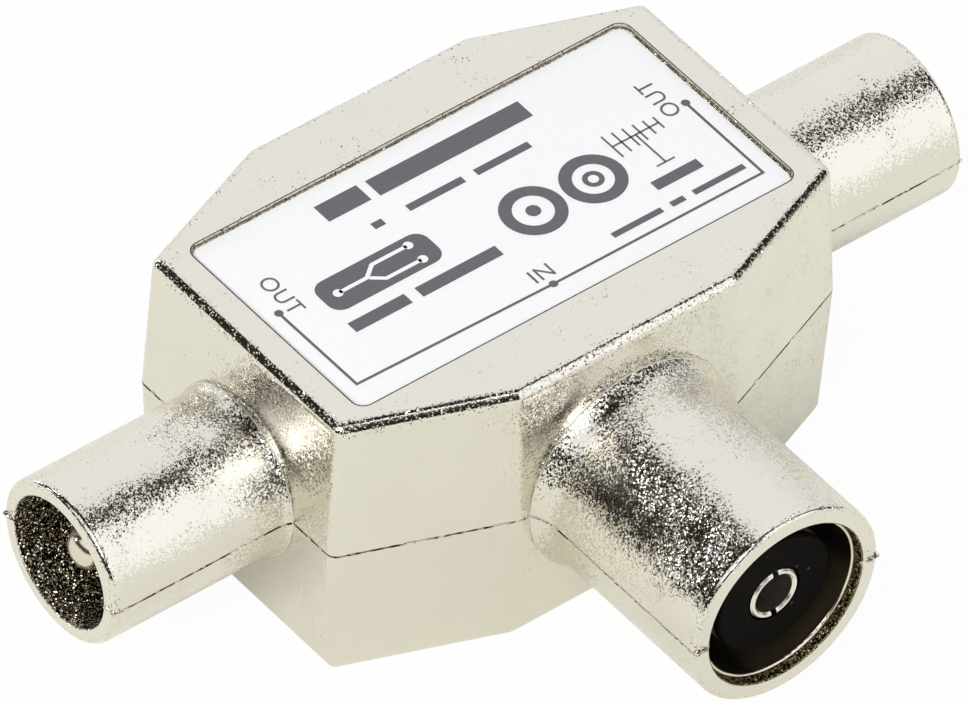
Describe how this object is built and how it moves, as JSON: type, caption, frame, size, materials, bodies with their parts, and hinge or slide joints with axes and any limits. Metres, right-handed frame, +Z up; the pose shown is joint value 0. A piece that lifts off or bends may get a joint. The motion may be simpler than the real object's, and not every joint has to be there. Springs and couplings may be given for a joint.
{
  "type": "coaxial splitter",
  "caption": "Coaxial splitter: a cast metal housing with a socket port at the front and a plug port at each end.",
  "frame": {"origin": "centre of the flat underside, below the middle of the body", "axes": "+X along the output ports towards the right one, -Y the way the input port points, +Z up out of the label"},
  "size_m": [0.0566, 0.0368, 0.0178],
  "materials": {
    "nickel_plate": "satin",
    "bright_nickel": "polished",
    "tin_plate": "satin",
    "label_film": "satin",
    "black_insulator": "matte",
    "board_laminate": "satin",
    "copper": "satin",
    "ferrite": "matte",
    "enamelled_wire": "gloss",
    "resistor_body": "satin",
    "capacitor_body": "satin",
    "solder": "gloss"
  },
  "bodies": {
    "root": {"upper_shell": "nickel_plate", "lower_shell": "nickel_plate", "printed_label": "label_film", "input_sleeve": "bright_nickel", "input_insulator": "black_insulator", "input_contact": "tin_plate", "left_output_insulator": "black_insulator", "left_output_pin": "bright_nickel", "right_output_insulator": "black_insulator", "right_output_pin": "bright_nickel", "circuit_board": "board_laminate", "copper_tracks": "copper", "matching_core": "ferrite", "matching_winding": "enamelled_wire", "splitting_core": "ferrite", "splitting_winding": "enamelled_wire", "isolation_resistor": "resistor_body", "input_capacitor": "capacitor_body", "left_output_capacitor": "capacitor_body", "right_output_capacitor": "capacitor_body", "compensation_capacitor": "capacitor_body", "input_solder": "solder", "left_output_solder": "solder", "right_output_solder": "solder"}
  },
  "joints": []
}
